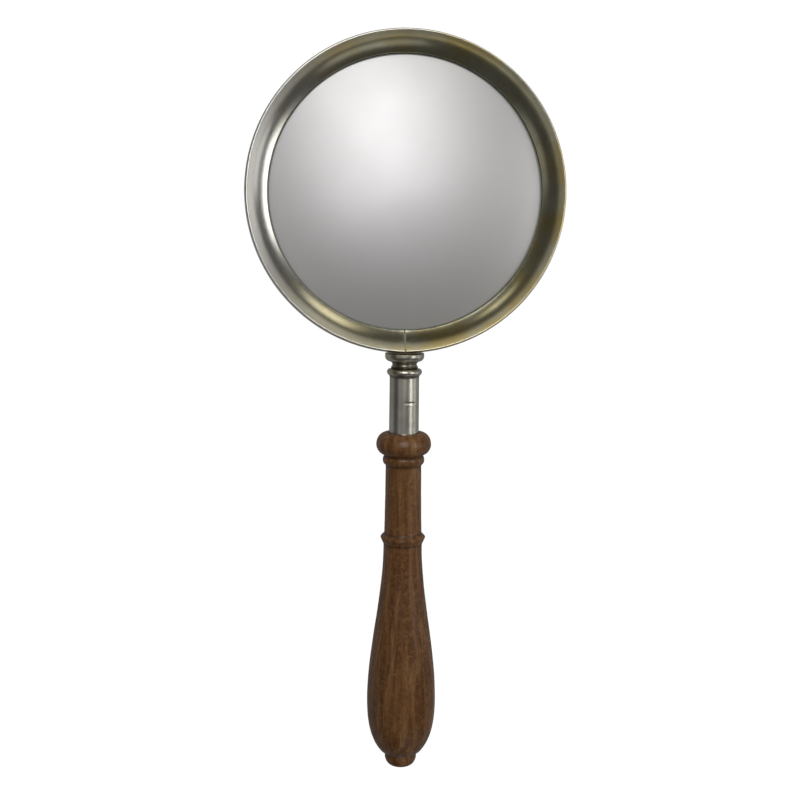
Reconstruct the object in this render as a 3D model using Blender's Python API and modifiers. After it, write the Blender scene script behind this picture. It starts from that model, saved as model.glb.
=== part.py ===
"""Hand-held round glass in a dished metal ring, on a turned wooden handle that unscrews.

The object lies on its back: +Z leaves the glass, +Y runs from the handle to the far side of the ring, and
z = 0 is the lowest point of the handle's bulb. Lengths are written in millimetres, and MM turns them into
metres where a mesh or a place is made.

Two axes carry everything. The ring's pieces are turned about the glass axis, and the neck and handle pieces
about the handle axis. Along the handle, places are distances down from the ring's outer wall.
"""

import math

import bmesh
import bpy

MM = 0.001
GAP = 0.3  # clearance between pieces that touch

# Driving dimensions of the whole
RING_RADIUS = 56.2  # outside of the wall at its fullest
HANDLE_LENGTH = 149.0  # from the ring's wall to the end of the button
BULB_RADIUS = 12.3
TOTAL_LENGTH = 2 * RING_RADIUS + HANDLE_LENGTH
AXIS_HEIGHT = BULB_RADIUS  # the bulb rests on z = 0
NECK_Y = HANDLE_LENGTH - TOTAL_LENGTH / 2  # where the handle axis meets the ring's wall
RING_Y = NECK_Y + RING_RADIUS

# Ring section: radii from the glass axis, heights from the handle axis
SHEET = 0.75
LIP_TOP = 5.2
LIP_RADIUS = 55.1
LIP_ROUND = 0.4
LIP_INSIDE = 54.7
GLASS_OPENING = 48.5  # inner edge of the cove
COVE_CENTRE = (46.5, 4.9)  # of the ellipse that the cove's section follows
COVE_DEPTH = 6.0
COVE_EDGE = 0.5  # thickness of the sheet at the glass
WALL_FULLEST = -0.4
WALL_LOWER = -3.2
WALL_LOWER_RADIUS = 55.95
RING_BACK = -6.9
WALL_BACK_RADIUS = 55.4
SPLIT_WIDTH = 0.4

# Glass and what is behind it
GLASS_RADIUS = 50.0
GLASS_RIM_TOP = -2.3
GLASS_CROWN = 5.0  # rise of the dome
GLASS_THICKNESS = 1.6
COAT_GAP = 0.1
COAT_THICKNESS = 0.25
BOARD_TOP = -4.45
BOARD_BOTTOM = -5.15
PLATE_TOP = -5.4
PLATE_STEP = -5.75  # back of the rim that the wire lies against
PLATE_BACK = -6.1
PLATE_RADIUS = 54.0
PLATE_STEP_RADIUS = 52.5
WIRE_RADIUS = 0.35
WIRE_RING_RADIUS = 53.7
WIRE_HEIGHT = -6.4

# Neck: distances down the handle axis. Curved parts are (centre, radii) of their ellipse
ABOVE_WALL = -1  # where pieces start that are then cut to the ring's wall
STUD_RADIUS = 2.35
STUD_END = 15.4
FOOT_RADIUS = 4.3
FOOT_BOTTOM = 1.5
BORE_RADIUS = STUD_RADIUS + GAP
FLANGE_RADIUS = 6.92
COLLAR_COVE = ((6.3, 4.0), (2.0, 1.25))
COLLAR_END = 4.85
WASHER_RADIUS = 4.75
WASHER_TOP = 5.0
WASHER_BOTTOM = 5.35
FERRULE_TOP = 5.5
FERRULE_BEAD = ((5.3, 6.7), (0.92, 1.2))
TUBE_RADIUS = 5.3
TUBE_BORE = 4.55
TUBE_END = 31.0
INSERT_TOP = 8.0
INSERT_END = 25.0
PIN_PLACE = 17.4
PIN_RADIUS = 0.6
PIN_REACH = 4.85  # from the axis to each end, a little inside the tube's skin
PIN_FIT = 0.15
PIN_TURN = math.radians(21)  # the pin's axis is turned this far from straight up

# Tang and its fastening, inside the handle
TANG_RADIUS = 1.5
TANG_BORE = TANG_RADIUS + GAP
TANG_TOP = 20.8
TANG_END = 139.0
TANG_SIDES = 12
TANG_WASHER_RADIUS = 3.9
TANG_WASHER_HEIGHT = 0.6
POCKET_RADIUS = 4.4
POCKET_TOP = 134.5
NUT_FLATS = 5.5
NUT_HEIGHT = 2.4

# Wooden handle. Turned swellings are (centre, radii) of their ellipse
WOOD_TOP = 28.2
TORUS = ((6.2, 32.4), (3.51, 4.2))
BEAD = ((6.4, 37.9), (1.03, 1.75))
COLUMN = [(6.4, 40.6), (6.42, 50.5), (6.74, 63.9)]
MIDDLE_RING = [(6.85, 64.5), (8.0, 65.6), (8.0, 66.0), (6.95, 68.3)]  # its four corners
TENON_TOP = INSERT_END + GAP
TENON_RADIUS = TUBE_BORE - GAP
SOCKET_RADIUS = TUBE_RADIUS + GAP
WAIST_RADIUS = 6.9
BULB_START = 69.0
BULB_PLACE = 125.1
BULB_TAIL = 21.5
BULB_FULLNESS = 2.35
WOOD_END = 143.6
BUTTON_TOP = WOOD_END + GAP
HEAD_PLACE = 145.9  # where the button is widest
END_FACE_RADIUS = 3.4  # the button's flat end
HEAD_ROUND = 2.3  # how far the button swells past its flat end

STEPS_RING = 60
STEPS_NECK = 24
STEPS_HANDLE = 28
STEPS_INNER = 20


def clear_scene():
    for thing in list(bpy.data.objects):
        bpy.data.objects.remove(thing, do_unlink=True)


def make_collection(name):
    collection = bpy.data.collections.new(name)
    bpy.context.scene.collection.children.link(collection)
    return collection


def make_material(name, colour, metallic, roughness):
    material = bpy.data.materials.new(name)
    material.use_nodes = True
    shader = material.node_tree.nodes["Principled BSDF"]
    shader.inputs["Base Color"].default_value = (*colour, 1)
    shader.inputs["Metallic"].default_value = metallic
    shader.inputs["Roughness"].default_value = roughness
    material.diffuse_color = (*colour, 1)
    return material


def make_axis(name, place, turn):
    axis = bpy.data.objects.new(name, None)
    axis.location = [value * MM for value in place]
    axis.rotation_euler = turn
    PARTS.objects.link(axis)
    return axis


def add_object(name, mesh, material, axis, collection=None):
    """Links a mesh object under an axis and gives it its material."""
    thing = bpy.data.objects.new(name, mesh)
    (collection or PARTS).objects.link(thing)
    thing.parent = axis
    if material:
        mesh.materials.append(material)
    return thing


def ellipse(centre, radii, start, end, count):
    """Points on an ellipse from one angle to another, in degrees, both ends included."""
    angles = [math.radians(start + (end - start) * i / (count - 1)) for i in range(count)]
    return [(centre[0] + radii[0] * math.cos(a), centre[1] + radii[1] * math.sin(a)) for a in angles]


def down(points):
    """Turns (radius, distance down the handle) into (radius, height) for turning."""
    return [(radius, -distance) for radius, distance in points]


def turned(name, profile, steps, material, axis, collection=None):
    """A solid of revolution. The profile is (radius, height) points that run down the outside.

    A profile that begins and ends on the axis is left open, and any other is closed to a loop.
    """
    on_axis = profile[0][0] == 0 and profile[-1][0] == 0
    count = len(profile)
    edges = [(i, i + 1) for i in range(count - 1)]
    if not on_axis:
        edges.append((count - 1, 0))
    mesh = bpy.data.meshes.new(name)
    mesh.from_pydata([(r * MM, 0, z * MM) for r, z in profile], edges, [])
    thing = add_object(name, mesh, material, axis, collection)
    screw = thing.modifiers.new("Turn", "SCREW")
    screw.steps = steps
    screw.render_steps = steps
    screw.use_merge_vertices = True
    screw.merge_threshold = 0.00001
    screw.use_smooth_shade = True
    return thing


def rod(name, radius, length, sides, material, axis, collection=None):
    """A capped prism or cylinder along Z, centred on its own origin."""
    mesh = bpy.data.meshes.new(name)
    shape = bmesh.new()
    bmesh.ops.create_cone(
        shape, cap_ends=True, segments=sides, radius1=radius * MM, radius2=radius * MM, depth=length * MM
    )
    shape.to_mesh(mesh)
    shape.free()
    return add_object(name, mesh, material, axis, collection)


def block(name, size, axis):
    """A box cutter of the given size, centred on its own origin."""
    mesh = bpy.data.meshes.new(name)
    shape = bmesh.new()
    bmesh.ops.create_cube(shape, size=1)
    bmesh.ops.scale(shape, vec=[value * MM for value in size], verts=shape.verts)
    shape.to_mesh(mesh)
    shape.free()
    return as_cutter(add_object(name, mesh, None, axis, CUTTERS))


def as_cutter(thing):
    thing.hide_render = True
    thing.display_type = "WIRE"
    return thing


def cut(thing, *cutters):
    for cutter in cutters:
        boolean = thing.modifiers.new("Cut", "BOOLEAN")
        boolean.operation = "DIFFERENCE"
        boolean.solver = "EXACT"
        boolean.object = cutter


def ring_wall(clearance):
    """The outside of the ring from the lip to the back edge, slightly barrelled."""
    return [
        (LIP_RADIUS + LIP_ROUND + clearance, LIP_TOP - LIP_ROUND / 2),
        (RING_RADIUS - 0.35 + clearance, 2.4),
        (RING_RADIUS + clearance, WALL_FULLEST),
        (WALL_LOWER_RADIUS + clearance, WALL_LOWER),
        (WALL_BACK_RADIUS + clearance, RING_BACK),
    ]


def dome(crown_height, radius, count):
    """Points on the glass's curve from the axis to a radius, with the crown at the given height."""
    curve = (GLASS_OPENING**2 + GLASS_CROWN**2) / (2 * GLASS_CROWN)
    radii = [radius * i / (count - 1) for i in range(count)]
    return [(r, crown_height - curve + math.sqrt(curve**2 - r**2)) for r in radii]


# Ring head


def make_frame_ring():
    """Sheet metal drawn into an outer wall, a rounded lip and a cove that leads down to the glass."""
    width = LIP_INSIDE - COVE_CENTRE[0]
    start = -math.degrees(math.acos((GLASS_OPENING - COVE_CENTRE[0]) / width))
    behind = ellipse(COVE_CENTRE, (width + SHEET, COVE_DEPTH + COVE_EDGE), -22, start - 1.2, 7)
    cove = ellipse(COVE_CENTRE, (width, COVE_DEPTH), start, 0, 9)
    lip = [(LIP_INSIDE + 0.15, LIP_TOP), (LIP_RADIUS + 0.2, LIP_TOP)]
    wall = ring_wall(0)
    inside = [(WALL_BACK_RADIUS - SHEET, RING_BACK), (WALL_LOWER_RADIUS - SHEET, WALL_LOWER)]
    ring = turned("frame_ring", lip + wall + inside + behind + cove, STEPS_RING, NICKEL, GLASS_AXIS)
    split = block("split_cutter", (SPLIT_WIDTH, 14, 30), GLASS_AXIS)
    split.location.y = -(RING_RADIUS - 3) * MM
    cut(ring, split)


def make_glass():
    crown = GLASS_RIM_TOP + GLASS_CROWN
    front = dome(crown, GLASS_RADIUS - 0.7, 8)
    rim = [(GLASS_RADIUS, GLASS_RIM_TOP - 0.4), (GLASS_RADIUS, GLASS_RIM_TOP - GLASS_THICKNESS)]
    back = dome(crown - GLASS_THICKNESS, GLASS_RADIUS - 0.5, 6)
    turned("convex_glass", front + rim + back[::-1], STEPS_RING, GLASS, GLASS_AXIS)
    coat_crown = crown - GLASS_THICKNESS - COAT_GAP
    coat_front = dome(coat_crown, GLASS_RADIUS - 0.6, 6)
    coat_back = dome(coat_crown - COAT_THICKNESS, GLASS_RADIUS - 0.6, 6)
    turned("silver_coat", coat_front + coat_back[::-1], STEPS_RING // 2, SILVER, GLASS_AXIS)


def flat_ring(name, outer, inner, top, bottom, material):
    profile = [(inner, top), (outer, top), (outer, bottom), (inner, bottom)]
    turned(name, profile, STEPS_RING, material, GLASS_AXIS)


def make_back_plate():
    """The closed back, with a stepped rim that holds the retaining wire in the middle."""
    profile = [
        (0, PLATE_TOP),
        (PLATE_RADIUS, PLATE_TOP),
        (PLATE_RADIUS, PLATE_STEP),
        (PLATE_STEP_RADIUS, PLATE_STEP),
        (PLATE_STEP_RADIUS, PLATE_BACK),
        (0, PLATE_BACK),
    ]
    turned("back_plate", profile, STEPS_RING, NICKEL, GLASS_AXIS)


def make_backing():
    flat_ring("glass_gasket", GLASS_RADIUS + 0.2, GLASS_OPENING - 0.2, -1.75, -2.05, GASKET)
    flat_ring("packing_ring", PLATE_RADIUS - 0.2, GLASS_RADIUS + 0.4, -1.9, PLATE_TOP + GAP, CARD)
    board = [(0, BOARD_TOP), (GLASS_RADIUS, BOARD_TOP), (GLASS_RADIUS, BOARD_BOTTOM), (0, BOARD_BOTTOM)]
    turned("backing_board", board, STEPS_RING, CARD, GLASS_AXIS)


def make_retaining_wire():
    """A sprung wire ring with a gap between its ends, behind the back plate."""
    opening = math.radians(7)
    count = 40
    curve = bpy.data.curves.new("retaining_wire", "CURVE")
    curve.dimensions = "3D"
    curve.bevel_depth = WIRE_RADIUS * MM
    curve.bevel_resolution = 1
    curve.use_fill_caps = True
    line = curve.splines.new("POLY")
    line.points.add(count - 1)
    for i, point in enumerate(line.points):
        angle = math.pi / 2 + opening / 2 + (2 * math.pi - opening) * i / (count - 1)
        x = WIRE_RING_RADIUS * math.cos(angle) * MM
        y = WIRE_RING_RADIUS * math.sin(angle) * MM
        point.co = (x, y, WIRE_HEIGHT * MM, 1)
    add_object("retaining_wire", curve, STEEL, GLASS_AXIS)


# Neck


def make_studs():
    """The threaded stud, cut lengthways: one half belongs to each end of the split ring."""
    profile = [
        (0, ABOVE_WALL),
        (FOOT_RADIUS, ABOVE_WALL),
        (FOOT_RADIUS, FOOT_BOTTOM),
        (STUD_RADIUS, FOOT_BOTTOM),
        (STUD_RADIUS, STUD_END - 0.5),
        (STUD_RADIUS - 0.5, STUD_END),
        (0, STUD_END),
    ]
    for name, side in (("stud_half_left", -1), ("stud_half_right", 1)):
        half = turned(name, down(profile), STEPS_INNER, BRASS, HANDLE_AXIS)
        other_side = block(name + "_cutter", (20, 20, 60), HANDLE_AXIS)
        other_side.location.x = -side * (10 - SPLIT_WIDTH / 2) * MM
        cut(half, WALL_CUTTER, other_side)


def make_collar():
    """Flange against the ring, then a cove. Its top is hollowed for the feet of the studs."""
    flange = [
        (FLANGE_RADIUS, ABOVE_WALL),
        (FLANGE_RADIUS, 1.3),
        (FLANGE_RADIUS - 0.37, 2.1),
        (FLANGE_RADIUS - 0.82, 2.6),
    ]
    cove = ellipse(*COLLAR_COVE, 245, 140, 7)
    shoulder = [(WASHER_RADIUS, COLLAR_END)]
    hollow = [
        (BORE_RADIUS, COLLAR_END),
        (BORE_RADIUS, FOOT_BOTTOM + GAP),
        (FOOT_RADIUS + GAP, FOOT_BOTTOM + GAP),
        (FOOT_RADIUS + GAP, ABOVE_WALL),
    ]
    collar = turned("neck_collar", down(flange + cove + shoulder + hollow), STEPS_NECK, NICKEL, HANDLE_AXIS)
    cut(collar, WALL_CUTTER)


def make_seat_washer():
    rim = [(WASHER_RADIUS, WASHER_TOP), (WASHER_RADIUS, WASHER_BOTTOM)]
    profile = rim + [(BORE_RADIUS, WASHER_BOTTOM), (BORE_RADIUS, WASHER_TOP)]
    turned("seat_washer", down(profile), STEPS_NECK, BRASS, HANDLE_AXIS)


def make_pin_cutter():
    cutter = as_cutter(rod("pin_cutter", PIN_RADIUS + PIN_FIT, 16, 12, None, HANDLE_AXIS, CUTTERS))
    place_pin(cutter)
    return cutter


def place_pin(thing):
    """Lays a rod across the handle axis at the pin's place."""
    thing.location.z = -PIN_PLACE * MM
    thing.rotation_euler = (math.pi / 2, 0, PIN_TURN)


def make_ferrule(pin_cutter):
    """Bead and tube in one piece. The tube is closed at the bead but for the stud's hole."""
    bead = ellipse(*FERRULE_BEAD, -90, 75, 7)
    outside = bead + [(TUBE_RADIUS + 0.05, 8.3), (TUBE_RADIUS, 8.8), (TUBE_RADIUS, TUBE_END)]
    inside = [
        (TUBE_BORE, TUBE_END),
        (TUBE_BORE, INSERT_TOP - GAP),
        (BORE_RADIUS, INSERT_TOP - GAP),
        (BORE_RADIUS, FERRULE_TOP),
    ]
    ferrule = turned("ferrule", down(outside + inside), STEPS_NECK, NICKEL, HANDLE_AXIS)
    cut(ferrule, pin_cutter)


def make_insert(pin_cutter):
    """Plug inside the tube: threaded for the stud above, for the tang below, and crossed by the pin."""
    radius = TUBE_BORE - GAP
    profile = [
        (0, STUD_END + 0.7),
        (BORE_RADIUS, STUD_END + 0.7),
        (BORE_RADIUS, INSERT_TOP),
        (radius, INSERT_TOP),
        (radius, INSERT_END),
        (TANG_BORE, INSERT_END),
        (TANG_BORE, TANG_TOP - GAP),
        (0, TANG_TOP - GAP),
    ]
    insert = turned("threaded_insert", down(profile), STEPS_INNER, BRASS, HANDLE_AXIS)
    cut(insert, pin_cutter)


def make_ferrule_pin():
    pin = rod("ferrule_pin", PIN_RADIUS, 2 * PIN_REACH, 12, STEEL, HANDLE_AXIS)
    place_pin(pin)


# Handle


def bulb_outline(count_above, count_below):
    """The long bulb: a smooth swelling down to its widest place, then a full, rounded end."""
    points = []
    for i in range(count_above):
        t = i / (count_above - 1)
        swell = t * t * (3 - 2 * t)
        radius = WAIST_RADIUS + (BULB_RADIUS - WAIST_RADIUS) * swell
        points.append((radius, BULB_START + (BULB_PLACE - BULB_START) * t))
    for i in range(1, count_below + 1):
        t = (WOOD_END - BULB_PLACE) / BULB_TAIL * math.sin(math.pi / 2 * i / count_below)
        radius = BULB_RADIUS * (1 - t**BULB_FULLNESS) ** (1 / BULB_FULLNESS)
        points.append((radius, BULB_PLACE + BULB_TAIL * t))
    return points


def make_handle_grip():
    """One turned piece of wood: torus, bead, column, ring and bulb, bored for the tang."""
    torus = ellipse(*TORUS, -84, 64, 10)
    bead = ellipse(*BEAD, -38, 68, 5)
    pocket = [(POCKET_RADIUS, WOOD_END), (POCKET_RADIUS, POCKET_TOP), (TANG_BORE, POCKET_TOP)]
    tenon = [
        (TANG_BORE, TENON_TOP),
        (TENON_RADIUS, TENON_TOP),
        (TENON_RADIUS, TUBE_END + GAP),
        (SOCKET_RADIUS, TUBE_END + GAP),
        (SOCKET_RADIUS, WOOD_TOP),
    ]
    outside = torus + bead + COLUMN + MIDDLE_RING + bulb_outline(11, 9)
    turned("handle_grip", down(outside + pocket + tenon), STEPS_HANDLE, WOOD, HANDLE_AXIS)


def make_tang():
    length = TANG_END - TANG_TOP
    tang = rod("tang", TANG_RADIUS, length, TANG_SIDES, STEEL, HANDLE_AXIS)
    tang.location.z = -(TANG_TOP + length / 2) * MM


def make_tang_fastening():
    top = POCKET_TOP + GAP
    bottom = top + TANG_WASHER_HEIGHT
    rim = [(TANG_WASHER_RADIUS, top), (TANG_WASHER_RADIUS, bottom)]
    washer = rim + [(TANG_BORE, bottom), (TANG_BORE, top)]
    turned("tang_washer", down(washer), STEPS_INNER, STEEL, HANDLE_AXIS)
    nut = rod("tang_nut", NUT_FLATS / 2 / math.cos(math.pi / 6), NUT_HEIGHT, 6, STEEL, HANDLE_AXIS)
    nut.location.z = -(bottom + GAP + NUT_HEIGHT / 2) * MM
    bore = as_cutter(rod("nut_cutter", TANG_BORE, 4 * NUT_HEIGHT, 12, None, HANDLE_AXIS, CUTTERS))
    bore.location.z = nut.location.z
    cut(nut, bore)


def make_end_button():
    """Turned plug with a rounded head, whose tenon closes the pocket of the nut."""
    tenon_radius = POCKET_RADIUS - GAP
    tenon = [(0, TANG_END + GAP), (tenon_radius, TANG_END + GAP), (tenon_radius, BUTTON_TOP)]
    head = ellipse((END_FACE_RADIUS, HEAD_PLACE), (HEAD_ROUND, HANDLE_LENGTH - HEAD_PLACE), -38, 90, 9)
    end = [(0, HANDLE_LENGTH)]
    turned("end_button", down(tenon + head + end), STEPS_HANDLE, WOOD, HANDLE_AXIS)


clear_scene()
PARTS = make_collection("magnifying_glass")
CUTTERS = make_collection("cutters")

NICKEL = make_material("aged_nickel", (0.52, 0.50, 0.43), 1.0, 0.28)
BRASS = make_material("brass", (0.62, 0.48, 0.22), 1.0, 0.35)
STEEL = make_material("steel", (0.45, 0.45, 0.46), 1.0, 0.4)
GLASS = make_material("silvered_glass", (0.74, 0.73, 0.74), 0.9, 0.12)
SILVER = make_material("silvering", (0.78, 0.78, 0.79), 1.0, 0.2)
GASKET = make_material("black_gasket", (0.03, 0.03, 0.03), 0.0, 0.8)
CARD = make_material("grey_card", (0.32, 0.30, 0.27), 0.0, 0.9)
WOOD = make_material("dark_wood", (0.11, 0.055, 0.03), 0.0, 0.4)

GLASS_AXIS = make_axis("glass_axis", (0, RING_Y, AXIS_HEIGHT), (0, 0, 0))
HANDLE_AXIS = make_axis("handle_axis", (0, NECK_Y, AXIS_HEIGHT), (-math.pi / 2, 0, 0))
WALL_TOP = LIP_TOP + 4
WALL_BOTTOM = RING_BACK - 5
WALL_ENDS = ([(0, WALL_TOP), (LIP_RADIUS, WALL_TOP)], [(WALL_BACK_RADIUS, WALL_BOTTOM), (0, WALL_BOTTOM)])
WALL_PROFILE = WALL_ENDS[0] + ring_wall(GAP) + WALL_ENDS[1]
WALL_CUTTER = as_cutter(turned("wall_cutter", WALL_PROFILE, STEPS_RING * 2, None, GLASS_AXIS, CUTTERS))

make_frame_ring()
make_glass()
make_backing()
make_back_plate()
make_retaining_wire()
make_studs()
make_collar()
make_seat_washer()
PIN_CUTTER = make_pin_cutter()
make_ferrule(PIN_CUTTER)
make_insert(PIN_CUTTER)
make_ferrule_pin()
make_handle_grip()
make_tang()
make_tang_fastening()
make_end_button()
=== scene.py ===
"""The looks of the hand magnifier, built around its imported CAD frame.

Lengths are written in millimetres, and MM turns them into metres. The ring's pieces are turned about the
glass axis and the neck and handle pieces about the handle axis, in each piece's own space, with its Z along
the axis. Along the handle, a place is a distance down from the ring's wall.
"""

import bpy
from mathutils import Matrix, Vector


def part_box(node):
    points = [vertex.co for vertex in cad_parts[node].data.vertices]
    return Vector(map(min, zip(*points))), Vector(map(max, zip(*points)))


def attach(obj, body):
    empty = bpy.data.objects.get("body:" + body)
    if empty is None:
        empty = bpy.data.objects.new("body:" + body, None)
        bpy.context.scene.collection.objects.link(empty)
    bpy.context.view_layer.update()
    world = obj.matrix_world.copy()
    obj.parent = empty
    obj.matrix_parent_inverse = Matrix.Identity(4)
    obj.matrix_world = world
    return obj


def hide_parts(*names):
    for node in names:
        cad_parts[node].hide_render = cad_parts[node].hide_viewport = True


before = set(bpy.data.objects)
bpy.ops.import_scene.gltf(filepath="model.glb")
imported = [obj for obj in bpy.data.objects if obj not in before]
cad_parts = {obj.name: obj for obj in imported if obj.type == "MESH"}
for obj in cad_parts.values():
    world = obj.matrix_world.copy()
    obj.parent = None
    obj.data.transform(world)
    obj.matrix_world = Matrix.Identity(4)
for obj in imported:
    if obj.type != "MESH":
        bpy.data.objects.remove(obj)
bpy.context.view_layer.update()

import math

import bmesh
import bpy
from mathutils import Matrix, Vector, noise

MM = 0.001


def span(node, axis):
    """A CAD node's lowest and highest place along one axis, in millimetres."""
    low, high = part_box(node)
    return low[axis] / MM, high[axis] / MM


# Places read from the frame
X, Y, Z = 0, 1, 2
RING_LOW, RING_HIGH = span("frame_ring", Y)
RING_RADIUS = (RING_HIGH - RING_LOW) / 2
RING_Y = (RING_HIGH + RING_LOW) / 2
BULB_LOW, BULB_HIGH = span("handle_grip", Z)
BULB_RADIUS = (BULB_HIGH - BULB_LOW) / 2
AXIS_Z = (BULB_HIGH + BULB_LOW) / 2
LIP_TOP = span("frame_ring", Z)[1] - AXIS_Z
RING_BACK = span("frame_ring", Z)[0] - AXIS_Z
HANDLE_LENGTH = RING_LOW - span("end_button", Y)[0]
WOOD_END = RING_LOW - span("handle_grip", Y)[0]
PLATE_RADIUS = span("back_plate", X)[1]
PLATE_BACK = span("back_plate", Z)[0] - AXIS_Z
PLATE_FRONT = span("back_plate", Z)[1] - AXIS_Z
STUD_END = RING_LOW - span("stud_half_left", Y)[0]

GLASS_AXIS = Matrix.Translation((0, RING_Y * MM, AXIS_Z * MM))
HANDLE_AXIS = Matrix.Translation((0, RING_LOW * MM, AXIS_Z * MM)) @ Matrix.Rotation(-math.pi / 2, 4, "X")

# Sizes that the looks need and the frame's boxes don't give
LIP_RADIUS = 55.08
LIP_ROUND = 0.38
WALL_BACK_RADIUS = 55.4
WALL_LOWER_RADIUS = RING_RADIUS - 0.25  # where the wall bends inside, and its height
WALL_LOWER = -3.2
WALL_FULLEST = -0.4
SHEET = 0.75  # thickness of the ring's metal
GLASS_OPENING = 48.5
COVE_TOP = 4.82
COVE_EDGE_TOP = -1.0
COVE_EDGE = 0.5
COVE_MIDDLE = 52.0
COVE_SLOPE = math.radians(26)  # how steeply the cove rises from the glass
SPLIT_WIDTH = 0.4
GLASS_FRONT = -2.3
GLASS_CROWN = 5.0
GLASS_THICKNESS = 1.6
GLASS_RADIUS = 50.0
GLASS_SHOWN = 47.75  # where the polished dome ends and its ground bevel begins
STUD_RADIUS = 2.35
THREAD_PITCH = 0.8
THREAD_DEPTH = 0.35
BORE_RADIUS = 2.65
WALL_GAP = 0.35  # from the ring's wall to the top of the stud's foot
FOOT_RADIUS = 4.3
FOOT_BOTTOM = 1.5
FLANGE_RADIUS = 6.9
COLLAR_END = 4.85
NECK_END_RADIUS = 4.75  # of the collar's end and of the washer under it
TUBE_RADIUS = 5.2
TUBE_FOOT_RADIUS = 5.28  # the tube widens a little towards the wood
TUBE_BORE = 4.55
TUBE_END = 31.0
CRIMP_PLACE = 17.3
CRIMP_TURN = math.radians(23)
WOOD_TOP = 28.2
SOCKET_RADIUS = 5.6  # of the hole for the tube
SOCKET_END = 31.3
TENON_RADIUS = 4.25  # of the wood that stands up inside the tube
TENON_TOP = 25.3
TANG_BORE = 1.8
POCKET_RADIUS = 4.4  # of the hole for the tang's nut
POCKET_TOP = 134.5
WAIST_RADIUS = 6.84  # above the bulb
BULB_START = 68.9
BULB_PLACE = 125.1  # where the bulb is widest
BULB_TAIL = 21.5
BULB_FULLNESS = 2.35  # how square the bulb's end is: 2 would make it an ellipse
GROOVES = (36.5, 39.95, 64.25, 68.25)  # the handle's grooves, darkened with painted shade
NECK_SHADE_BANDS = ((3.6, 1.5), (8.0, 0.8))  # painted shade, with how far it spreads, in the collar's cove and under the ferrule's bead

# Steps round a full turn
FINE_RING = 320
FINE_GLASS = 240
FINE_NECK = 128
FINE_HANDLE = 160


# Outlines


def ellipse(centre, radii, start, end, count):
    """Points on an ellipse from one angle to another, in degrees, both ends included."""
    angles = [math.radians(start + (end - start) * i / (count - 1)) for i in range(count)]
    return [(centre[0] + radii[0] * math.cos(a), centre[1] + radii[1] * math.sin(a)) for a in angles]


def down(points):
    """Turns (radius, distance down the handle) into (radius, height) for turning."""
    return [(radius, -distance) for radius, distance in points]


def straight(start, end, count):
    """Points between two places, without the first."""
    return [
        (start[0] + (end[0] - start[0]) * i / count, start[1] + (end[1] - start[1]) * i / count)
        for i in range(1, count + 1)
    ]


# Meshes


def turned(name, profile, steps, axis, opening=0.0, shape=None):
    """A solid of revolution about an axis.

    The profile is (radius, height) points that run down the outside. It is closed to a loop unless it
    begins and ends on the axis. With an opening, in radians, the turn stops short on each side of local
    -Y and its two ends are capped. shape(point) may move each point.
    """
    made = bmesh.new()
    on_axis = profile[0][0] == 0 and profile[-1][0] == 0
    rows = len(profile) - 1 if on_axis else len(profile)
    columns = steps + 1 if opening else steps
    start = -math.pi / 2 + opening / 2
    turn = 2 * math.pi - opening
    grid = []
    for j in range(columns):
        angle = start + turn * j / steps
        column = []
        for radius, height in profile:
            if radius == 0 and grid:
                column.append(grid[0][len(column)])
                continue
            point = Vector((radius * math.cos(angle), radius * math.sin(angle), height))
            if shape:
                point = shape(point)
            column.append(made.verts.new(point * MM))
        grid.append(column)
    for j in range(steps):
        near, far = grid[j], grid[(j + 1) % columns]
        for i in range(rows):
            k = (i + 1) % len(profile)
            corners = dict.fromkeys([near[i], near[k], far[k], far[i]])  # a corner on the axis counts once
            made.faces.new(list(corners))
    if opening:
        made.faces.new(grid[0][::-1])
        made.faces.new(grid[-1])
    bmesh.ops.recalc_face_normals(made, faces=made.faces)
    return finish_mesh(name, made, axis)


def finish_mesh(name, made, axis, sharp=35):
    """A smooth-shaded piece from a finished mesh, creased where faces meet at more than sharp degrees."""
    mesh = bpy.data.meshes.new(name)
    made.to_mesh(mesh)
    made.free()
    mesh.shade_smooth()
    mesh.set_sharp_from_angle(angle=math.radians(sharp))
    piece = bpy.data.objects.new(name, mesh)
    bpy.context.scene.collection.objects.link(piece)
    piece.matrix_world = axis
    return piece


def dress(piece, material, slot, body, *nodes):
    """Gives a piece its material, its body and the CAD nodes that it stands for."""
    piece.data.materials.clear()
    piece.data.materials.append(material)
    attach(piece, body)
    if nodes:
        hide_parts(*nodes)


# Materials


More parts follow.
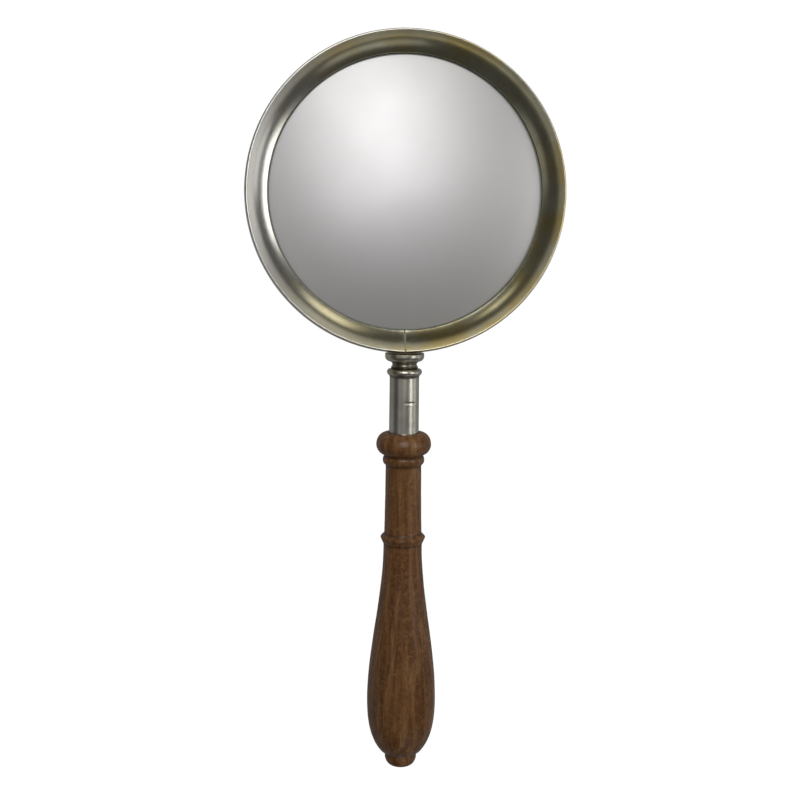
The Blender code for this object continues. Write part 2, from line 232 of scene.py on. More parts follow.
class Graph:
    """A material's node tree, with short ways to add the nodes used here."""

    def __init__(self, name):
        self.material = bpy.data.materials.new(name)
        self.material.use_nodes = True
        self.tree = self.material.node_tree
        self.shader = self.tree.nodes["Principled BSDF"]

    def feed(self, socket, value):
        """Links a socket to another, or sets its value."""
        if isinstance(value, bpy.types.NodeSocket):
            self.tree.links.new(value, socket)
        else:
            socket.default_value = value

    def add(self, kind, **inputs):
        """A node of one kind with its inputs fed. An underscore stands for a space in an input's name."""
        made = self.tree.nodes.new(kind)
        for key, value in inputs.items():
            self.feed(made.inputs[key.replace("_", " ")], value)
        return made

    def surface(self, **inputs):
        """Feeds the inputs of the surface shader."""
        for key, value in inputs.items():
            self.feed(self.shader.inputs[key.replace("_", " ")], value)

    def place(self, scale=(1, 1, 1), offset=(0, 0, 0)):
        """The piece's own coordinates in millimetres, scaled."""
        own = self.add("ShaderNodeTexCoord").outputs["Object"]
        sizes = [value / MM for value in scale]
        return self.add("ShaderNodeMapping", Vector=own, Scale=sizes, Location=offset).outputs[0]

    def noise(self, vector, scale=1.0, detail=3.0, rough=0.55, bend=0.0):
        """Noise from 0 to 1. The scale is in blotches a millimetre, more or less."""
        made = self.add("ShaderNodeTexNoise", Vector=vector, Scale=scale, Detail=detail)
        self.feed(made.inputs["Roughness"], rough)
        self.feed(made.inputs["Distortion"], bend)
        return made.outputs["Fac"]

    def ramp(self, value, *stops):
        """A colour ramp. Each stop is (place, colour)."""
        made = self.add("ShaderNodeValToRGB", Fac=value)
        elements = made.color_ramp.elements
        while len(elements) < len(stops):
            elements.new(0.5)
        for element, (place, colour) in zip(elements, stops):
            element.position = place
            element.color = (*colour, 1)
        return made.outputs["Color"]

    def math(self, operation, a, b=0.0):
        """One sum on two sockets or numbers."""
        made = self.tree.nodes.new("ShaderNodeMath")
        made.operation = operation
        self.feed(made.inputs[0], a)
        self.feed(made.inputs[1], b)
        return made.outputs[0]

    def mix(self, share, a, b):
        """A mix of two colours, where a share of 0 is all of the first."""
        made = self.tree.nodes.new("ShaderNodeMix")
        made.data_type = "RGBA"
        self.feed(made.inputs[0], share)
        for socket, value in ((made.inputs[6], a), (made.inputs[7], b)):
            self.feed(socket, (*value, 1) if isinstance(value, tuple) else value)
        return made.outputs[2]

    def fit(self, value, low, high, to_low, to_high):
        """Maps a value from one range to another, clamped."""
        ends = {"From_Min": low, "From_Max": high, "To_Min": to_low, "To_Max": to_high}
        return self.add("ShaderNodeMapRange", Value=value, **ends).outputs[0]

    def rings(self, scale):
        """Coordinates for marks left by a lathe: they change with radius and height, and drift a little."""
        parts = self.add("ShaderNodeSeparateXYZ", Vector=self.place()).outputs
        squares = self.math("ADD", self.math("POWER", parts[0], 2), self.math("POWER", parts[1], 2))
        across = self.math("SQRT", squares)
        drift = self.noise(self.place(), 0.12, 1)
        made = self.add("ShaderNodeCombineXYZ")
        self.feed(made.inputs[0], self.math("MULTIPLY", across, scale[0]))
        self.feed(made.inputs[1], self.math("MULTIPLY", drift, 2.5))
        self.feed(made.inputs[2], self.math("MULTIPLY", parts[2], scale[1]))
        return made.outputs[0]

    def bump(self, height, strength, distance, below=None):
        """A bumped normal, its distance in millimetres, on top of another one if given."""
        made = self.add("ShaderNodeBump", Height=height, Strength=strength, Distance=distance * MM)
        if below is not None:
            self.feed(made.inputs["Normal"], below)
        return made.outputs[0]


def nickel_material(name, tint, dark, rough, warm, lit_side=0.0, shade_bands=()):
    """Old nickel plate over brass: satin, turned, dark in patches and worn warm in others. Its -X side is
    painted lighter as painted light, its lip carries a painted highlight, and given places carry painted
    shade.

    The share given for the -X side sets how strongly that side is painted lighter, as painted light. The
    list gives the places along the handle painted darker as painted shade, each with how far it spreads.
    """
    worn_brass, lit_side_nickel = (0.70, 0.57, 0.25), (0.93, 0.92, 0.89)
    lip_highlight_colour, painted_shade_colour = (0.95, 0.94, 0.88), (0.13, 0.115, 0.085)
    g = Graph(name)
    patches = g.noise(g.place(), 0.09, 4, 0.6)
    fine = g.noise(g.place(), 1.6, 5, 0.65)
    colour = g.mix(g.fit(patches, 0.35, 0.7, 0, 0.55), tint, dark)
    worn = g.noise(g.place(offset=(7, 3, 1)), 0.055, 3, 0.5)
    colour = g.mix(g.fit(worn, 0.50, 0.66, 0, warm), colour, worn_brass)
    colour = g.mix(g.fit(fine, 0.3, 0.8, 0.0, 0.06), colour, dark)
    across, _, height = g.add("ShaderNodeSeparateXYZ", Vector=g.place()).outputs
    # Painted light: the -X side is painted lighter, as if lit, and the patches give its edge a ragged line
    towards_left = g.math("SUBTRACT", g.math("MULTIPLY", patches, 40.0), across)
    colour = g.mix(g.fit(towards_left, 35, 72, 0, lit_side), colour, lit_side_nickel)
    # Painted highlight along the top of the lip, strongest on the -X side
    on_lip = g.fit(height, LIP_TOP - 0.5, LIP_TOP - 0.1, 0, 1)
    lip_highlight_share = g.math("MULTIPLY", on_lip, g.fit(across, -30, 40, 0.75, 0))
    colour = g.mix(lip_highlight_share, colour, lip_highlight_colour)
    # Painted shade in hollows along the handle axis: darker towards each listed place
    for place, spread in shade_bands:
        away = g.math("ABSOLUTE", g.math("ADD", height, place))
        colour = g.mix(g.fit(away, spread * 0.3, spread, 0.7, 0.0), colour, painted_shade_colour)
    marks = g.noise(g.rings((4, 4)), 1.0, 3, 0.6)
    scratches = g.noise(g.place((2.5, 0.3, 0.3)), 1.3, 3, 0.7, 0.6)
    uneven = g.math("ADD", rough, g.fit(fine, 0.3, 0.75, -0.02, 0.04))
    normal = g.bump(marks, 0.04, 0.006)
    normal = g.bump(scratches, 0.03, 0.003, normal)
    normal = g.bump(patches, 0.2, 0.08, normal)
    g.surface(Base_Color=colour, Metallic=1.0, Roughness=uneven, Normal=normal)
    return g.material


def glass_material():
    """Silvered glass seen through its front: a soft grey mirror with faint clouding and a few specks."""
    g = Graph("silvered_glass")
    cloud = g.noise(g.place(), 0.035, 3, 0.5)
    specks = g.noise(g.place(), 2.2, 2, 0.5)
    colour = g.mix(g.fit(cloud, 0.3, 0.7, 0, 1), (0.88, 0.865, 0.865), (0.84, 0.825, 0.825))
    colour = g.mix(g.fit(specks, 0.74, 0.8, 0, 0.25), colour, (0.3, 0.3, 0.3))
    rough = g.fit(cloud, 0.3, 0.7, 0.42, 0.45)
    g.surface(Base_Color=colour, Metallic=0.7, Roughness=rough)
    return g.material


def bevel_material():
    """The ground edge of the glass: pale grey-green and frosted."""
    g = Graph("ground_glass")
    grit = g.noise(g.place(), 6, 3, 0.6)
    colour = g.ramp(grit, (0.3, (0.42, 0.45, 0.40)), (0.7, (0.62, 0.65, 0.60)))
    g.surface(Base_Color=colour, Roughness=g.fit(grit, 0.3, 0.7, 0.25, 0.45))
    g.surface(Normal=g.bump(grit, 0.4, 0.02))
    return g.material


def wood_material():
    """Brown hardwood with its grain along the handle, broken by ripples and flecks, under a thin polish."""
    g = Graph("dark_wood")
    broad = g.noise(g.place((0.26, 0.26, 0.020)), 1.5, 3, 0.5, 0.9)
    streaks = g.noise(g.place((1.3, 1.3, 0.05), (3, 1, 7)), 1.0, 3, 0.55, 0.4)
    ripple = g.noise(g.place((0.50, 0.50, 0.60)), 1.0, 3, 0.6, 0.7)
    flecks = g.noise(g.place((2.4, 2.4, 0.6)), 1.0, 2, 0.55, 0.4)
    colour = g.ramp(
        broad,
        (0.32, (0.150, 0.062, 0.019)),
        (0.46, (0.225, 0.098, 0.032)),
        (0.56, (0.300, 0.142, 0.050)),
        (0.68, (0.400, 0.205, 0.080)),
    )
    colour = g.mix(g.fit(streaks, 0.36, 0.60, 0.5, 0.0), colour, (0.140, 0.052, 0.016))
    colour = g.mix(g.fit(ripple, 0.48, 0.68, 0.0, 0.5), colour, (0.420, 0.208, 0.080))
    dark_flecks = g.fit(flecks, 0.56, 0.70, 0.0, 0.55)
    colour = g.mix(dark_flecks, colour, (0.085, 0.032, 0.011))
    height = g.add("ShaderNodeSeparateXYZ", Vector=g.place()).outputs[2]
    # Painted shade: darker towards each groove
    for groove in GROOVES:
        away = g.math("ABSOLUTE", g.math("ADD", height, groove))
        colour = g.mix(g.fit(away, 0.1, 0.7, 0.55, 0.0), colour, (0.045, 0.022, 0.010))
    rough = g.math("ADD", g.fit(streaks, 0.3, 0.7, 0.36, 0.28), g.math("MULTIPLY", dark_flecks, 0.12))
    normal = g.bump(streaks, 0.2, 0.04)
    normal = g.bump(g.math("SUBTRACT", 1.0, dark_flecks), 0.3, 0.05, normal)
    normal = g.bump(g.noise(g.rings((0.5, 2.2)), 1.0, 2), 0.15, 0.04, normal)
    g.surface(Base_Color=colour, Roughness=rough, Normal=normal)
    return g.material


def plain_metal(name, light, dark, rough):
    """Machined metal that is seldom seen: lathe lines, small stains and an uneven sheen."""
    g = Graph(name)
    stains = g.noise(g.place(), 0.5, 4, 0.6)
    lines = g.noise(g.rings((3, 6)), 1.0, 3, 0.6)
    colour = g.mix(g.fit(stains, 0.4, 0.75, 0, 0.8), light, dark)
    g.surface(Base_Color=colour, Metallic=1.0, Roughness=g.fit(stains, 0.3, 0.7, rough, rough + 0.15))
    g.surface(Normal=g.bump(lines, 0.3, 0.02))
    return g.material


def dull_material(name, light, dark, grain, rough):
    """Card and gasket: matt, with a fibrous surface."""
    g = Graph(name)
    fibres = g.noise(g.place(), grain, 5, 0.7)
    g.surface(Base_Color=g.mix(fibres, dark, light), Roughness=g.fit(fibres, 0.3, 0.7, rough - 0.1, rough))
    g.surface(Normal=g.bump(fibres, 0.4, 0.05))
    return g.material


# The ring head


def wall_radius(height):
    """The outside of the ring, slightly barrelled between the lip and the back edge."""
    if height > WALL_FULLEST:
        reach = (COVE_TOP - WALL_FULLEST, RING_RADIUS - LIP_RADIUS - LIP_ROUND)
    else:
        reach = (WALL_FULLEST - RING_BACK, RING_RADIUS - WALL_BACK_RADIUS)
    return RING_RADIUS - reach[1] * ((height - WALL_FULLEST) / reach[0]) ** 2


def settle_at_split(point):
    """The cove is pulled down a little beside the split, and is slightly uneven all round."""
    spread, depth = 1.1, 0.22
    middle, half_width = 51.5, 3.4
    near = math.exp(-((point.x / spread) ** 2)) if point.y < 0 else 0.0
    radius = math.hypot(point.x, point.y)
    on_cove = max(0.0, 1 - abs(radius - middle) / half_width) if point.z > -1.2 else 0.0
    wave = noise.noise(point * 0.09) * 0.05
    return point - Vector((0, 0, (depth * near + wave) * on_cove))


def cove_arc(count, behind=0.0):
    """Points on the cove, an arc from the glass up to the lip, or on the sheet's back behind it."""
    inner, outer = Vector((GLASS_OPENING, COVE_EDGE_TOP)), Vector((LIP_RADIUS - LIP_ROUND, COVE_TOP))
    chord = outer - inner
    lean = math.atan2(chord.y, chord.x)
    bend = 2 * (lean - COVE_SLOPE)
    radius = chord.length / (2 * math.sin(bend / 2))
    centre = inner + radius * Vector((-math.sin(COVE_SLOPE), math.cos(COVE_SLOPE)))
    turns = [COVE_SLOPE + bend * i / (count - 1) for i in range(count)]
    reach = radius + behind
    return [(centre.x + reach * math.sin(t), centre.y - reach * math.cos(t)) for t in turns]


def make_ring(material):
    """The rolled sheet: over the lip, down the wall, round its back edge, up inside and along the cove."""
    back_round = 0.2
    wall_foot = RING_BACK + back_round
    lip = ellipse((LIP_RADIUS, COVE_TOP), (LIP_ROUND, LIP_TOP - COVE_TOP), 180, 0, 13)
    heights = [COVE_TOP + (wall_foot - COVE_TOP) * i / 22 for i in range(1, 23)]
    wall = [(wall_radius(height), height) for height in heights]
    back = ellipse((WALL_BACK_RADIUS - SHEET / 2, wall_foot), (SHEET / 2, back_round), -20, -160, 6)
    inside = [(WALL_BACK_RADIUS - SHEET, wall_foot), (WALL_LOWER_RADIUS - SHEET, WALL_LOWER)]
    under = cove_arc(24, SHEET)[-5:0:-1]  # the sheet's back, short of the wall
    edge = ellipse((GLASS_OPENING, COVE_EDGE_TOP - COVE_EDGE / 2), (0.16, COVE_EDGE / 2), 270, 90, 7)
    cove = cove_arc(34)[1:-1]
    opening = SPLIT_WIDTH / COVE_MIDDLE
    profile = lip + wall + back + inside + under + edge + cove
    ring = turned("ring_shell", profile, FINE_RING, GLASS_AXIS, opening, settle_at_split)
    dress(ring, material, "nickel", "ring_head", "frame_ring")


def make_solder(material):
    """The silver solder that fills the split across the cove, a little uneven."""
    # The section: how far across in half widths, and how far above the cove
    outline = ((-1.25, -0.15), (-0.6, -0.03), (0, 0), (0.6, -0.03), (1.25, -0.15), (0, -0.55))
    made = bmesh.new()
    path = cove_arc(30)[1:-2]  # short of the glass and the lip
    sections = []
    for before, place, after in zip(path, path[1:], path[2:]):
        along = Vector((0, before[0] - after[0], after[1] - before[1])).normalized()
        outward = Vector((0, along.z, -along.y))
        half = 0.30 + 0.06 * noise.noise(Vector((0, place[0] * 0.8, 3)))
        section = []
        for across, lift in outline:
            centre = Vector((across * half, -place[0], place[1]))
            section.append(made.verts.new((centre + outward * lift) * MM))
        sections.append(section)
    for near, far in zip(sections, sections[1:]):
        for i in range(len(near)):
            k = (i + 1) % len(near)
            made.faces.new([near[i], near[k], far[k], far[i]])
    made.faces.new(sections[0][::-1])
    made.faces.new(sections[-1])
    bmesh.ops.recalc_face_normals(made, faces=made.faces)
    solder = finish_mesh("split_solder", made, GLASS_AXIS, 60)
    dress(solder, material, "nickel", "ring_head")


def dome(crown, radius, count):
    """Points on the glass's curve from the axis to a radius, with the crown at the given height."""
    bend = (GLASS_OPENING**2 + GLASS_CROWN**2) / (2 * GLASS_CROWN)
    radii = [radius * i / (count - 1) for i in range(count)]
    return [(r, crown - bend + math.sqrt(bend**2 - r**2)) for r in radii]


def make_glass(silvered, ground):
    """The dome, polished and silvered, with a ground bevel on its front edge."""
    crown = GLASS_FRONT + GLASS_CROWN
    front = dome(crown, GLASS_SHOWN, 40)
    low = front[-1][1]
    bevel = [(GLASS_SHOWN + 0.12, low - 0.03), (GLASS_SHOWN + 0.6, low - 0.42)]
    rim = [(GLASS_RADIUS - 0.2, low - 0.62), (GLASS_RADIUS, low - 0.8)]
    rim.append((GLASS_RADIUS, GLASS_FRONT - GLASS_THICKNESS))
    back = dome(crown - GLASS_THICKNESS, GLASS_RADIUS - 0.5, 20)
    glass = turned("glass_dome", front + bevel + rim + back[::-1], FINE_GLASS, GLASS_AXIS)
    dress(glass, silvered, "glass", "ring_head", "convex_glass")
    glass.data.materials.append(ground)
    for face in glass.data.polygons:
        centre = face.center / MM
        across = math.hypot(centre.x, centre.y)
        in_front = centre.z > GLASS_FRONT - GLASS_THICKNESS - 0.1
        face.material_index = int(across > GLASS_SHOWN and in_front)


def make_gasket(material):
    """A thin dark ring that is squeezed between the cove's edge and the glass."""
    top, bottom = -1.62, -2.1
    inner, outer, rounding = GLASS_OPENING - 0.28, GLASS_RADIUS + 0.2, 0.2
    rounded = ellipse((inner + rounding, (top + bottom) / 2), (rounding, (top - bottom) / 2), 270, 90, 8)
    profile = [(outer, top), (outer, bottom)] + rounded
    gasket = turned("gasket_ring", profile, FINE_GLASS, GLASS_AXIS)
    dress(gasket, material, "gasket", "ring_head", "glass_gasket")


def make_back_plate(material):
    """The closed back: a spun disc with a step for the wire, two shallow grooves and a dimple."""
    front, back = PLATE_FRONT, PLATE_BACK
    step_radius, step, rounding = 52.45, back + 0.35, 0.2
    rim = [(0, front), (PLATE_RADIUS - 0.1, front), (PLATE_RADIUS, front - 0.1), (PLATE_RADIUS, step)]
    edge = [(step_radius + 0.1, step)]
    edge += ellipse((step_radius - rounding, back + rounding), (rounding, rounding), 20, -90, 6)
    outer_groove = ellipse((47.0, back - 0.05), (0.9, 0.22), 25, 155, 9)
    inner_groove = ellipse((16.0, back - 0.04), (0.6, 0.14), 25, 155, 7)
    dimple = [(1.2, back), (0.5, back + 0.16), (0, back + 0.2)]
    profile = rim + edge + outer_groove + inner_groove + dimple
    plate = turned("back_cover", profile, FINE_GLASS, GLASS_AXIS)
    dress(plate, material, "nickel", "ring_head", "back_plate")


def make_retaining_wire(material):
    """A sprung, open ring of wire in the groove behind the back plate."""
    low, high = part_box("retaining_wire")
    middle = ((low + high) / 2)[Z] / MM - AXIS_Z
    wire_radius = 0.35
    reach = high[X] / MM - wire_radius
    opening = math.radians(7)
    count = 181
    curve = bpy.data.curves.new("back_wire", "CURVE")
    curve.dimensions = "3D"
    curve.bevel_depth = wire_radius * MM
    curve.bevel_resolution = 4
    curve.use_fill_caps = True
    line = curve.splines.new("POLY")
    line.points.add(count - 1)
    for i, point in enumerate(line.points):
        angle = math.pi / 2 + opening / 2 + (2 * math.pi - opening) * i / (count - 1)
        point.co = (reach * math.cos(angle) * MM, reach * math.sin(angle) * MM, middle * MM, 1)
    wire = bpy.data.objects.new("back_wire", curve)
    bpy.context.scene.collection.objects.link(wire)
    wire.matrix_world = GLASS_AXIS
    dress(wire, material, "steel", "ring_head", "retaining_wire")


# The neck


def stud_radius(place, angle):
    """The stud's radius: its foot, then a helical thread that deepens at first and ends in a chamfer."""
    if place < FOOT_BOTTOM:
        return FOOT_RADIUS
    turn = (place / THREAD_PITCH + angle / (2 * math.pi)) % 1
    groove = 1 - abs(2 * turn - 1)
    deepening = min(1.0, place - FOOT_BOTTOM)
    chamfer = max(0.0, place - (STUD_END - 0.6)) * 0.8
    return STUD_RADIUS - THREAD_DEPTH * groove * deepening - chamfer


def wall_lift(across):
    """How far the ring's round wall curves away from a flat across its lowest point."""
    return RING_RADIUS - math.sqrt(RING_RADIUS**2 - across**2)


def make_stud_half(name, side, material, node):
    """Half of the threaded stud, with its foot on the ring's wall. Side is -1 or 1, for left or right."""
    made = bmesh.new()
    around, rows = 36, 150
    grid = []
    for i in range(rows + 1):
        place = WALL_GAP + (STUD_END - WALL_GAP) * i / rows
        row = []
        for j in range(around + 1):
            angle = -math.pi / 2 + math.pi * j / around
            if side < 0:
                angle = math.pi - angle
            radius = stud_radius(place, angle)
            on_split = j in (0, around)
            x = side * SPLIT_WIDTH / 2
            if not on_split:
                x += radius * math.cos(angle)
            y = radius * math.sin(angle)
            lift = 0.0
            if place < FOOT_BOTTOM:
                lift = wall_lift(x) * (FOOT_BOTTOM - place) / (FOOT_BOTTOM - WALL_GAP)
            row.append(made.verts.new(Vector((x, y, -place + lift)) * MM))
        grid.append(row)
    for near, far in zip(grid, grid[1:]):
        for j in range(around):
            made.faces.new([near[j], near[j + 1], far[j + 1], far[j]])
        made.faces.new([near[0], far[0], far[-1], near[-1]])
    made.faces.new(grid[0])
    made.faces.new(grid[-1][::-1])
    bmesh.ops.recalc_face_normals(made, faces=made.faces)
    half = finish_mesh(name, made, HANDLE_AXIS)
    dress(half, material, "brass", "ring_head", node)


def fit_to_wall(point):
    """Points in the collar's top millimetre follow the curve of the ring's wall."""
    if point.z < -1.0:
        return point
    return point + Vector((0, 0, wall_lift(point.x) * (point.z + 1.0)))


def make_collar(material):
    """A flange that fits the ring's wall, its shoulder, a cove, and a hollow for the stud and its foot."""
    top, flange_end = 0.28, 1.1
    gap = 0.3  # around the stud's foot
    rim = [(FLANGE_RADIUS - 0.2, top), (FLANGE_RADIUS, top + 0.12)]
    flange = straight(rim[-1], (FLANGE_RADIUS, flange_end), 6)  # in steps, for fit_to_wall to bend
    shoulder = ellipse((FLANGE_RADIUS - 1.55, flange_end), (1.55, 1.75), 4, 78, 12)
    cove = ellipse((6.3, 4.0), (2.0, 1.24), 248, 140, 16)
    hollow = [
        (NECK_END_RADIUS, COLLAR_END),
        (BORE_RADIUS + 0.2, COLLAR_END),
        (BORE_RADIUS, COLLAR_END - 0.2),
        (BORE_RADIUS, FOOT_BOTTOM + gap),
        (FOOT_RADIUS + gap, FOOT_BOTTOM + gap),
        (FOOT_RADIUS + gap, top),
    ]
    outline = rim + flange + shoulder + cove + hollow
    collar = turned("collar_turned", down(outline), FINE_NECK, HANDLE_AXIS, shape=fit_to_wall)
    dress(collar, material, "nickel", "collar", "neck_collar")


def make_seat_washer(material):
    """A thin washer with a rounded rim, between the collar and the ferrule."""
    top, bottom = 5.0, 5.35
    rounding = 0.07
    rim_centre = (NECK_END_RADIUS - rounding, (top + bottom) / 2)
    rim = ellipse(rim_centre, (rounding, (bottom - top) / 2), -90, 90, 7)
    profile = rim + [(BORE_RADIUS, bottom), (BORE_RADIUS, top)]
    washer = turned("washer_disc", down(profile), FINE_NECK, HANDLE_AXIS)
    dress(washer, material, "brass", "collar", "seat_washer")


def crimp(point):
    """A shallow punched crescent in the tube's front, with a low burr under it."""
    depth, burr = 0.10, 0.02
    radius = math.hypot(point.x, point.y)
    if radius < TUBE_RADIUS - 0.3 or abs(point.z + CRIMP_PLACE) > 5:
        return point
    along = radius * (math.atan2(point.x, -point.y) - CRIMP_TURN)
    off = -point.z - CRIMP_PLACE + 0.035 * along**2
    punched = math.exp(-((off / 0.36) ** 2)) * math.exp(-((along / 2.0) ** 4))
    raised = math.exp(-(((off - 0.85) / 0.35) ** 2)) * math.exp(-((along / 2.1) ** 4))
    shrink = (depth * punched - burr * raised) / radius
    return Vector((point.x * (1 - shrink), point.y * (1 - shrink), point.z))


def make_ferrule(material):
    """A bead, a small flare under it and the straight tube, bored for the stud and then for the insert."""
    top, tube_top, bore_top = 5.58, 8.8, 7.7
    bead = [(4.8, top)] + ellipse((5.3, 6.65), (0.88, 1.07), -90, 52, 18)
    flare = ellipse((6.0, 8.75), (0.8, 1.2), 256, 184, 7)
    tube = [(TUBE_RADIUS, tube_top)]
    tube += straight((TUBE_RADIUS, tube_top), (TUBE_FOOT_RADIUS, TUBE_END), 180)
    inside = [(TUBE_BORE, TUBE_END), (TUBE_BORE, bore_top), (BORE_RADIUS, bore_top), (BORE_RADIUS, top)]
    outline = bead + flare + tube + inside
    ferrule = turned("ferrule_tube", down(outline), 2 * FINE_NECK, HANDLE_AXIS, shape=crimp)
    dress(ferrule, material, "nickel", "handle", "ferrule")


# The handle


def hand_turned(point):
    """The small unevenness of hand turning and wear: a few hundredths of a millimetre."""
    radius = math.hypot(point.x, point.y)
    if radius < SOCKET_RADIUS:
        return point
    wave = noise.noise(Vector((point.x * 0.08, point.y * 0.08, point.z * 0.11)))
    ripple = noise.noise(Vector((0, 0, point.z * 1.1)))
    swell = 1 + (0.07 * wave + 0.03 * ripple) / radius
    return Vector((point.x * swell, point.y * swell, point.z))


def bulb_outline():
    """The long bulb: a smooth swelling down to its widest place, then a full, rounded end."""
    widest = BULB_RADIUS - 0.06
    points = []
    for i in range(61):
        t = i / 60
        swell = t * t * (3 - 2 * t)
        radius = WAIST_RADIUS + (widest - WAIST_RADIUS) * swell
        points.append((radius, BULB_START + (BULB_PLACE - BULB_START) * t))
    end_rounding = 0.3
    furthest = (WOOD_END - end_rounding - BULB_PLACE) / BULB_TAIL
    for i in range(1, 31):
        t = furthest * math.sin(math.pi / 2 * i / 30)
        radius = widest * (1 - t**BULB_FULLNESS) ** (1 / BULB_FULLNESS)
        points.append((radius, BULB_PLACE + BULB_TAIL * t))
    return points


def make_grip(material):
    """The turned wood, from its socket down the outside to the end and back up the bore."""
    top = [(SOCKET_RADIUS, WOOD_TOP + 0.35), (SOCKET_RADIUS + 0.15, WOOD_TOP + 0.1)]
    torus_centre, torus_reach = (6.2, 32.4), 3.51
    torus = ellipse(torus_centre, (torus_reach, 4.2), -86, 0, 26)
    torus += ellipse(torus_centre, (torus_reach, 3.78), 4, 72, 20)
    shelf = [(7.12, 36.15), (7.0, 36.4), (7.02, 36.72), (7.2, 36.86)]
    bead = ellipse((6.4, 37.9), (0.99, 1.7), -34, 66, 16)
    column_top, column_middle, column_end = (6.31, 40.6), (6.38, 50.5), (6.66, 63.9)
    column = [(6.5, 39.72), (6.36, 40.1), column_top]
    column += straight(column_top, column_middle, 10) + straight(column_middle, column_end, 12)
    ring = [(6.74, 64.3)] + straight((6.8, 64.46), (7.84, 65.5), 5)
    ring += ellipse((7.66, 65.8), (0.3, 0.36), -42, 42, 7) + straight((7.88, 66.04), (7.04, 67.9), 6)
    groove = [(WAIST_RADIUS, 68.02), (WAIST_RADIUS - 0.05, 68.3), (WAIST_RADIUS, 68.6)]
    end = [(5.6, WOOD_END), (POCKET_RADIUS, WOOD_END)]
    bore = [
        (POCKET_RADIUS, POCKET_TOP),
        (TANG_BORE, POCKET_TOP),
        (TANG_BORE, TENON_TOP),
        (TENON_RADIUS, TENON_TOP),
        (TENON_RADIUS, SOCKET_END),
        (SOCKET_RADIUS, SOCKET_END),
    ]
    outline = top + torus + shelf + bead + column + ring + groove + bulb_outline() + end + bore
    grip = turned("grip_turned", down(outline), FINE_HANDLE, HANDLE_AXIS, shape=hand_turned)
    dress(grip, material, "wood", "handle", "handle_grip")


def make_button(material):
    """A plug for the nut's pocket with a rounded, flat-ended head."""
    widest, plug_top, neck_top = 145.9, 139.3, WOOD_END + 0.15
    plug_radius = POCKET_RADIUS - 0.3
    neck = [(0, plug_top), (plug_radius, plug_top), (plug_radius, neck_top), (5.0, neck_top)]
    head = ellipse((3.4, widest), (2.28, HANDLE_LENGTH - widest), -36, 86, 30)
    end = [(3.0, HANDLE_LENGTH), (0, HANDLE_LENGTH)]
    button = turned("button_turned", down(neck + head + end), FINE_HANDLE, HANDLE_AXIS)
    dress(button, material, "wood", "handle", "end_button")


# The studio


def make_camera():
    """Above the lower part of the glass, a little to its left and towards the ring's far side."""
    aim_across, aim_below_middle = -1.75, 47.4
    aim = Vector((aim_across, RING_Y - aim_below_middle, AXIS_Z)) * MM
    left, above, roll = math.radians(4), math.radians(4), math.radians(0.6)
    distance = 369.6 * MM
    back = Vector((-math.sin(left) * math.cos(above), math.sin(above), math.cos(left) * math.cos(above)))
    data = bpy.data.cameras.new("camera")
    data.sensor_width = 36
    data.lens = 47.25
    data.shift_y = -0.09
    camera = bpy.data.objects.new("camera", data)
    bpy.context.scene.collection.objects.link(camera)
    right = Vector((0, 1, 0)).cross(back).normalized()
    up = back.cross(right)
    turn = Matrix((right, up, back)).transposed().to_4x4()
    camera.matrix_world = Matrix.Translation(aim + back * distance) @ turn @ Matrix.Rotation(roll, 4, "Z")
    bpy.context.scene.camera = camera


def make_softbox(name, zenith, azimuth, size, power, colour=(1, 1, 1)):
    """A soft rectangular light, turned to the object, in a direction from it.

    Zenith is in degrees from straight up, and azimuth in degrees from +X. Size is (level, slanting).
    """
    middle, distance = Vector((0, 30, AXIS_Z)), 750
    data = bpy.data.lights.new(name, "AREA")
    data.shape = "RECTANGLE"
    data.size, data.size_y = size[0] * MM, size[1] * MM
    data.energy = power
    data.color = colour
    light = bpy.data.objects.new(name, data)
    bpy.context.scene.collection.objects.link(light)
    slant, around = math.radians(zenith), math.radians(azimuth)
    away = Vector((math.sin(slant) * math.cos(around), math.sin(slant) * math.sin(around), math.cos(slant)))
    light.location = (middle + away * distance) * MM
    light.rotation_euler = away.to_track_quat("Z", "Y").to_euler()


def make_floor():
    """A sheet that glows: white to the camera, and a dim grey for the metal to reflect."""
    made = bmesh.new()
    reach = 4  # metres each way
    bmesh.ops.create_grid(made, x_segments=24, y_segments=24, size=reach)
    floor = finish_mesh("floor", made, Matrix.Identity(4))
    g = Graph("white_floor")
    g.surface(Base_Color=(0.82, 0.82, 0.82, 1), Roughness=0.8)
    seen = g.add("ShaderNodeLightPath").outputs["Is Camera Ray"]
    strength = g.fit(seen, 0, 1, 0.18, 1.06)
    glow = g.add("ShaderNodeEmission", Color=(1, 1, 1, 1), Strength=strength)
    blend = g.add("ShaderNodeMixShader", Fac=0.95)
    g.feed(blend.inputs[1], g.shader.outputs[0])
    g.feed(blend.inputs[2], glow.outputs[0])
    g.feed(g.tree.nodes["Material Output"].inputs["Surface"], blend.outputs[0])
    floor.data.materials.append(g.material)


def make_world():
    """A dim grey surround for the object, and plain white for the camera."""
    world = bpy.data.worlds.new("studio")
    world.use_nodes = True
    tree = world.node_tree
    glow = tree.nodes["Background"]
    glow.inputs["Color"].default_value = (0.046, 0.0455, 0.045, 1)
    glow.inputs["Strength"].default_value = 1.0
    white = tree.nodes.new("ShaderNodeBackground")
    white.inputs["Strength"].default_value = 1.0
    white.inputs["Color"].default_value = (1, 1, 1, 1)
    mix = tree.nodes.new("ShaderNodeMixShader")
    seen = tree.nodes.new("ShaderNodeLightPath")
    tree.links.new(seen.outputs["Is Camera Ray"], mix.inputs[0])
    tree.links.new(glow.outputs[0], mix.inputs[1])
    tree.links.new(white.outputs[0], mix.inputs[2])
    tree.links.new(mix.outputs[0], tree.nodes["World Output"].inputs["Surface"])
    bpy.context.scene.world = world


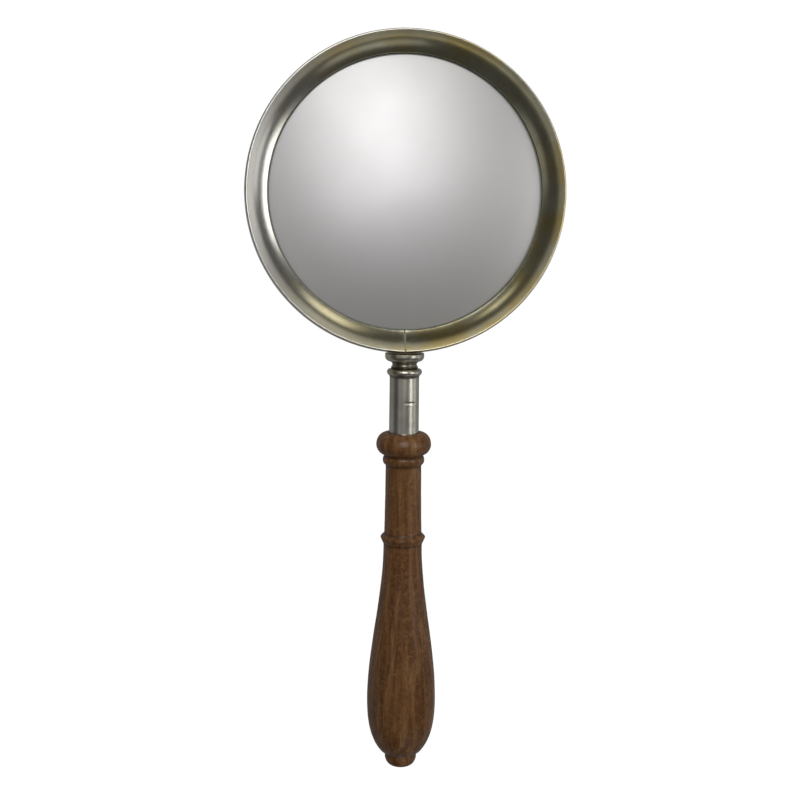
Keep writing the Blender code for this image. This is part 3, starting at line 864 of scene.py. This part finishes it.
def make_studio():
    """One large light overhead, a key at the right, and low or small ones for the ring's slopes."""
    warm = (1, 0.95, 0.74)
    bpy.context.scene.view_settings.view_transform = "Standard"
    make_world()
    make_floor()
    make_softbox("rear_overhead", 23, 97, (380, 520), 1.72)
    make_softbox("key_right", 50, 6, (440, 260), 0.68)
    make_softbox("low_right", 84, -4, (340, 200), 0.15)
    make_softbox("low_front", 67, -70, (560, 220), 0.12)
    make_softbox("rear_right", 65, 58, (200, 260), 0.19, warm)
    make_softbox("rear_left", 63, 122, (180, 130), 0.08, warm)
    make_softbox("fill_left", 40, 190, (300, 300), 0.06)


# The ring's nickel: painted light lightens its -X side, and a painted highlight runs along its lip
nickel = nickel_material(
    "aged_nickel", (0.76, 0.725, 0.53), (0.47, 0.435, 0.27), rough=0.23, warm=0.95, lit_side=0.9
)
# The neck's nickel: painted shade in the collar's cove and under the ferrule's bead
neck_nickel = nickel_material(
    "neck_nickel", (0.92, 0.895, 0.80), (0.46, 0.42, 0.31), rough=0.31, warm=0.4, shade_bands=NECK_SHADE_BANDS
)
solder = plain_metal("silver_solder", (0.62, 0.62, 0.56), (0.40, 0.40, 0.34), 0.3)
brass = plain_metal("machined_brass", (0.66, 0.50, 0.24), (0.36, 0.26, 0.12), 0.28)
tarnished = plain_metal("tarnished_brass", (0.14, 0.11, 0.07), (0.06, 0.05, 0.035), 0.45)
steel = plain_metal("drawn_steel", (0.50, 0.50, 0.51), (0.28, 0.27, 0.26), 0.34)
silvering = plain_metal("silvering", (0.78, 0.78, 0.79), (0.6, 0.6, 0.6), 0.2)
gasket = dull_material("black_gasket", (0.035, 0.035, 0.032), (0.012, 0.012, 0.011), 3.0, 0.75)
card = dull_material("grey_card", (0.38, 0.35, 0.31), (0.24, 0.22, 0.19), 1.6, 0.92)
wood = wood_material()

make_ring(nickel)
make_solder(solder)
make_glass(glass_material(), bevel_material())
make_gasket(gasket)
make_back_plate(nickel)
make_retaining_wire(steel)
make_stud_half("stud_left", -1, brass, "stud_half_left")
make_stud_half("stud_right", 1, brass, "stud_half_right")
make_collar(neck_nickel)
make_seat_washer(tarnished)
make_ferrule(neck_nickel)
make_grip(wood)
make_button(wood)

CARRIED_OVER = {
    "silver_coat": silvering,
    "packing_ring": card,
    "backing_board": card,
    "threaded_insert": brass,
    "ferrule_pin": steel,
    "tang": steel,
    "tang_washer": steel,
    "tang_nut": steel,
}
for node, material in CARRIED_OVER.items():
    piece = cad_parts[node]
    piece.data.materials.clear()
    piece.data.materials.append(material)

make_camera()
make_studio()
